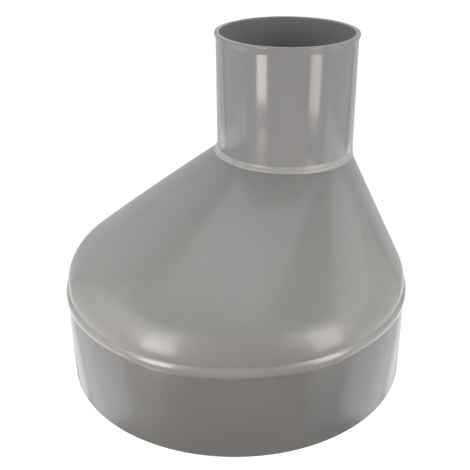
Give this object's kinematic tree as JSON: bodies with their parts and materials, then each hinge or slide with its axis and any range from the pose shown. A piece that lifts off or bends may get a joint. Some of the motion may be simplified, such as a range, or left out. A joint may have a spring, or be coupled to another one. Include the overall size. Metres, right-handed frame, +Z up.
{
  "type": "eccentric pipe reducer",
  "caption": "Flush-sided eccentric reducer in grey rigid plastic: a wide plain pipe end, a round-shouldered hood and a narrow off-centre socket.",
  "frame": {"origin": "centre of the large pipe's open end", "axes": "+Z up along both pipe axes towards the small socket's mouth, +X from the large pipe's axis to the small socket's axis"},
  "size_m": [0.3176, 0.3176, 0.297],
  "materials": {
    "pipe": "extruded PVC-U pipe, satin gloss",
    "hood": "thermoformed PVC-U sheet, satin with fine rubbing marks",
    "socket": "injection moulded PVC-U, satin gloss",
    "weld": "hot-gas weld, satin and slightly uneven",
    "cement": "dried solvent cement, glossy"
  },
  "bodies": {
    "root": {"large_pipe_ring": "pipe", "eccentric_hood": "hood", "small_socket": "socket", "socket_weld": "weld", "inner_socket_weld": "weld", "base_cement": "cement", "inner_base_cement": "cement"}
  },
  "joints": []
}
